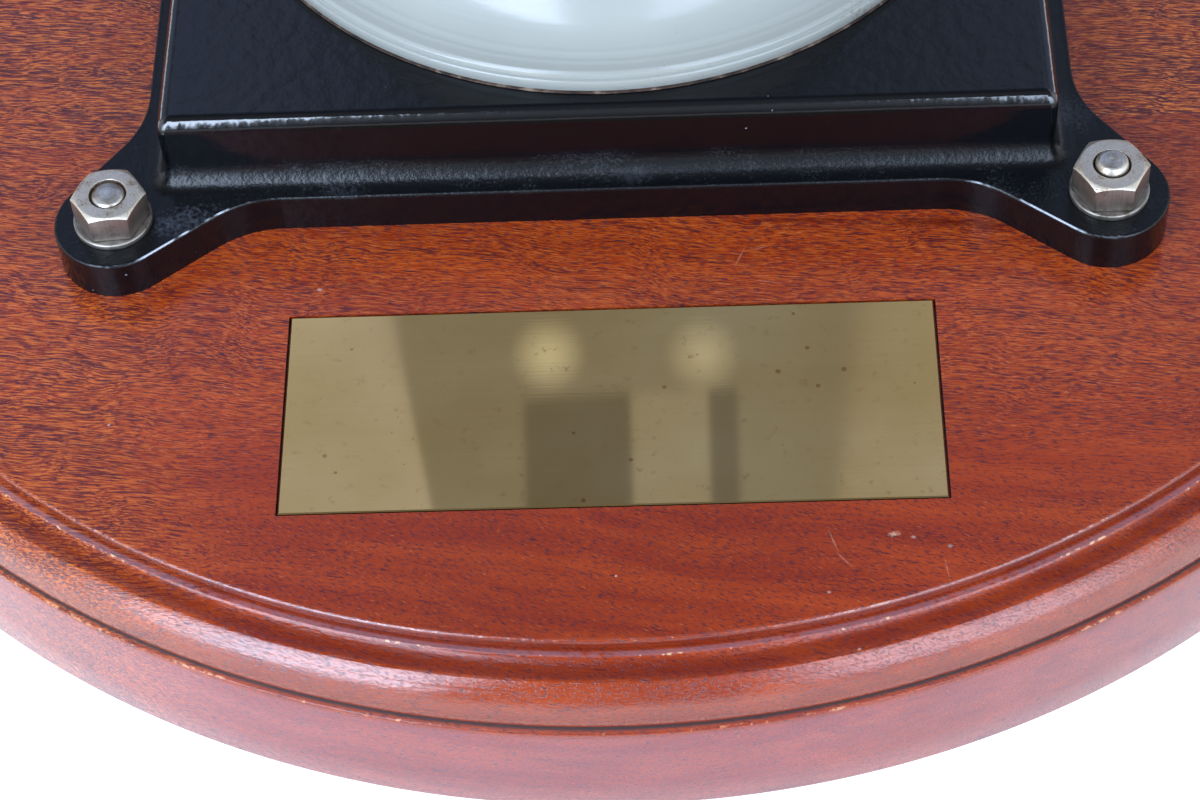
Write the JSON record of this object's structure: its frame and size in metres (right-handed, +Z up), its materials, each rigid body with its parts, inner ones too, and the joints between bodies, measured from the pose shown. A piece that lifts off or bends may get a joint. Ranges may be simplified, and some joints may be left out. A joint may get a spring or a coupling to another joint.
{
  "type": "model steam engine base",
  "caption": "Base of a model column engine: round moulded wooden plinth with a blank brass plate, a black cast bedplate held by studs and nuts, and the pale moulded foot ring of the column.",
  "frame": {"origin": "centre of the plinth's underside, on the surface it stands on", "axes": "+Z up; the name plate's side faces -Y; +X to the right seen from the name plate"},
  "size_m": [0.25, 0.25, 0.0661],
  "materials": {
    "plinth_wood": "french polished mahogany",
    "underside_cloth": "green baize",
    "plate_brass": "aged brushed brass, lacquer worn",
    "black_enamel_iron": "black satin enamel on cast iron",
    "joint_paper": "oiled brown jointing paper",
    "pale_enamel_iron": "pale grey green gloss enamel on cast iron",
    "bright_steel": "turned and milled steel, lightly tarnished"
  },
  "bodies": {
    "root": {"plinth_front_board": "plinth_wood", "plinth_middle_board": "plinth_wood", "plinth_back_board": "plinth_wood", "underside_baize": "underside_cloth", "name_plate": "plate_brass", "bedplate": "black_enamel_iron", "foot_joint": "joint_paper", "column_foot": "pale_enamel_iron", "stud_front_left": "bright_steel", "washer_front_left": "bright_steel", "nut_front_left": "bright_steel", "stud_front_right": "bright_steel", "washer_front_right": "bright_steel", "nut_front_right": "bright_steel", "stud_back_left": "bright_steel", "washer_back_left": "bright_steel", "nut_back_left": "bright_steel", "stud_back_right": "bright_steel", "washer_back_right": "bright_steel", "nut_back_right": "bright_steel"}
  },
  "joints": []
}
